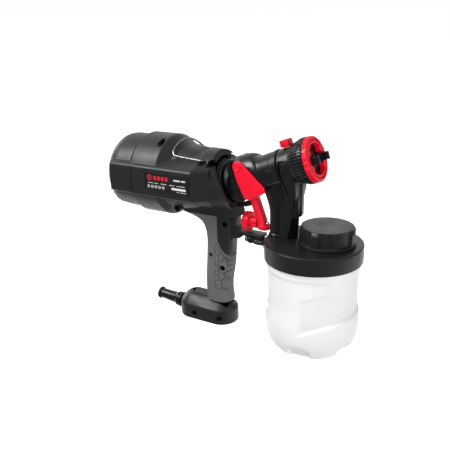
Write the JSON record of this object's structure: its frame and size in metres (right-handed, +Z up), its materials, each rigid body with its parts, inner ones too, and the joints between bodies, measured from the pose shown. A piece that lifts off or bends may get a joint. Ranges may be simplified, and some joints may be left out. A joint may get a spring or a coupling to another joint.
{
  "type": "hvlp spray gun",
  "caption": "Electric HVLP paint spray gun: turbine housing on a pistol grip, tilted spray head with trigger, flow knob and air cap, and a screw-on paint cup below.",
  "frame": {"origin": "centre of the cup's foot, on the surface that the gun stands on", "axes": "+X forward along the spray direction, +Y to the gun's left, +Z up"},
  "size_m": [0.318, 0.11, 0.2427],
  "materials": {
    "black_shell": "fine-textured satin black nylon",
    "black_gloss": "smooth black plastic",
    "red_plastic": "smooth bright red plastic",
    "grey_grip": "soft grey overmoulded grip",
    "black_rubber": "black rubber",
    "white_cup": "translucent natural polyethylene",
    "steel": "bright steel",
    "brass": "machined brass",
    "copper": "enamelled copper and laminated steel",
    "filter_foam": "open-cell foam"
  },
  "bodies": {
    "gun": {"housing_right": "black_shell", "housing_left": "black_shell", "screw_1": "steel", "screw_2": "steel", "screw_3": "steel", "screw_4": "steel", "mouth_ring": "black_gloss", "label_plate": "black_gloss", "grip_overmould": "grey_grip", "base_foot": "black_shell", "strain_relief": "black_rubber", "cord_clamp": "black_shell", "capacitor": "brass", "switch_box": "black_shell", "strut": "black_shell", "motor_can": "steel", "bearing_rear": "steel", "bearing_front": "steel", "motor_shield": "black_shell", "motor_mount": "black_rubber", "diffuser": "black_shell", "air_filter": "filter_foam", "head_body": "black_shell", "trigger_pin": "steel", "fluid_tube": "steel", "fluid_nozzle": "brass", "needle_cage": "black_gloss", "nozzle_barrel": "black_shell", "lid": "black_shell", "lid_gasket": "black_rubber", "filler_gasket": "black_rubber", "pickup_tube": "white_cup", "clamp_barrel": "black_gloss"},
    "rotor": {"armature": "copper", "impeller_rear": "white_cup", "impeller_front": "white_cup"},
    "rear_cap": {"rear_cap": "black_shell"},
    "hook": {"wire_hook": "steel"},
    "plunger": {"switch_plunger": "black_gloss"},
    "trigger": {"trigger": "red_plastic", "flow_screw": "steel"},
    "flow_knob": {"flow_knob": "red_plastic"},
    "needle": {"needle": "steel", "needle_spring": "steel"},
    "lock_nut": {"lock_nut": "black_shell"},
    "air_cap": {"air_cap_ring": "red_plastic", "air_cap": "black_gloss"},
    "slider": {"pattern_slider": "red_plastic"},
    "filler_cap": {"filler_cap": "black_shell"},
    "cup": {"cup": "white_cup"},
    "clamp_screw": {"clamp_screw": "steel"}
  },
  "joints": [
    {"name": "rotor_spin", "type": "hinge", "parent": "gun", "child": "rotor", "pos_m": [-0.2, 0, 0.181], "axis": [1, 0, 0], "continuous": true},
    {"name": "rear_cap_pull", "type": "slide", "parent": "gun", "child": "rear_cap", "axis": [-1, 0, 0], "range_m": [0, 0.03]},
    {"name": "hook_swing", "type": "hinge", "parent": "gun", "child": "hook", "pos_m": [-0.125, 0, 0.208], "axis": [0, 1, 0], "range_deg": [0, 105]},
    {"name": "trigger_pull", "type": "hinge", "parent": "gun", "child": "trigger", "pos_m": [-0.084, 0, 0.2055], "axis": [0, 1, 0], "range_deg": [0, 5.5], "stiffness_Nm_per_rad": 3, "springref_deg": -2.86},
    {"name": "flow_turn", "type": "hinge", "parent": "trigger", "child": "flow_knob", "pos_m": [-0.0686, 0, 0.137], "axis": [-1, 0, 0], "range_deg": [0, 345]},
    {"name": "needle_draw", "type": "slide", "parent": "gun", "child": "needle", "axis": [-0.95, 0, -0.3123], "range_m": [0, 0.003]},
    {"name": "plunger_push", "type": "slide", "parent": "gun", "child": "plunger", "axis": [-0.95, 0, -0.3123], "range_m": [0, 0.0045]},
    {"name": "lock_nut_turn", "type": "hinge", "parent": "gun", "child": "lock_nut", "pos_m": [0.00145, 0, 0.2193], "axis": [0.95, 0, 0.3123], "continuous": true},
    {"name": "air_cap_turn", "type": "hinge", "parent": "gun", "child": "air_cap", "pos_m": [0.00145, 0, 0.2193], "axis": [0.95, 0, 0.3123], "range_deg": [-90, 90]},
    {"name": "slider_push", "type": "slide", "parent": "gun", "child": "slider", "axis": [-0.95, 0, -0.3123], "range_m": [0, 0.004]},
    {"name": "filler_cap_turn", "type": "hinge", "parent": "gun", "child": "filler_cap", "pos_m": [0.0156, 0, 0.13], "axis": [0, 0, 1], "continuous": true},
    {"name": "cup_turn", "type": "hinge", "parent": "gun", "child": "cup", "pos_m": [0, 0, 0.06], "axis": [0, 0, 1], "continuous": true},
    {"name": "clamp_turn", "type": "hinge", "parent": "gun", "child": "clamp_screw", "pos_m": [-0.08, 0, 0.1146], "axis": [1, 0, 0], "continuous": true}
  ],
  "couplings": [
    {"joint": "plunger_push", "follows": "trigger_pull", "m_per_rad": 0.045837},
    {"joint": "needle_draw", "follows": "trigger_pull", "m_per_rad": 0.030211}
  ]
}
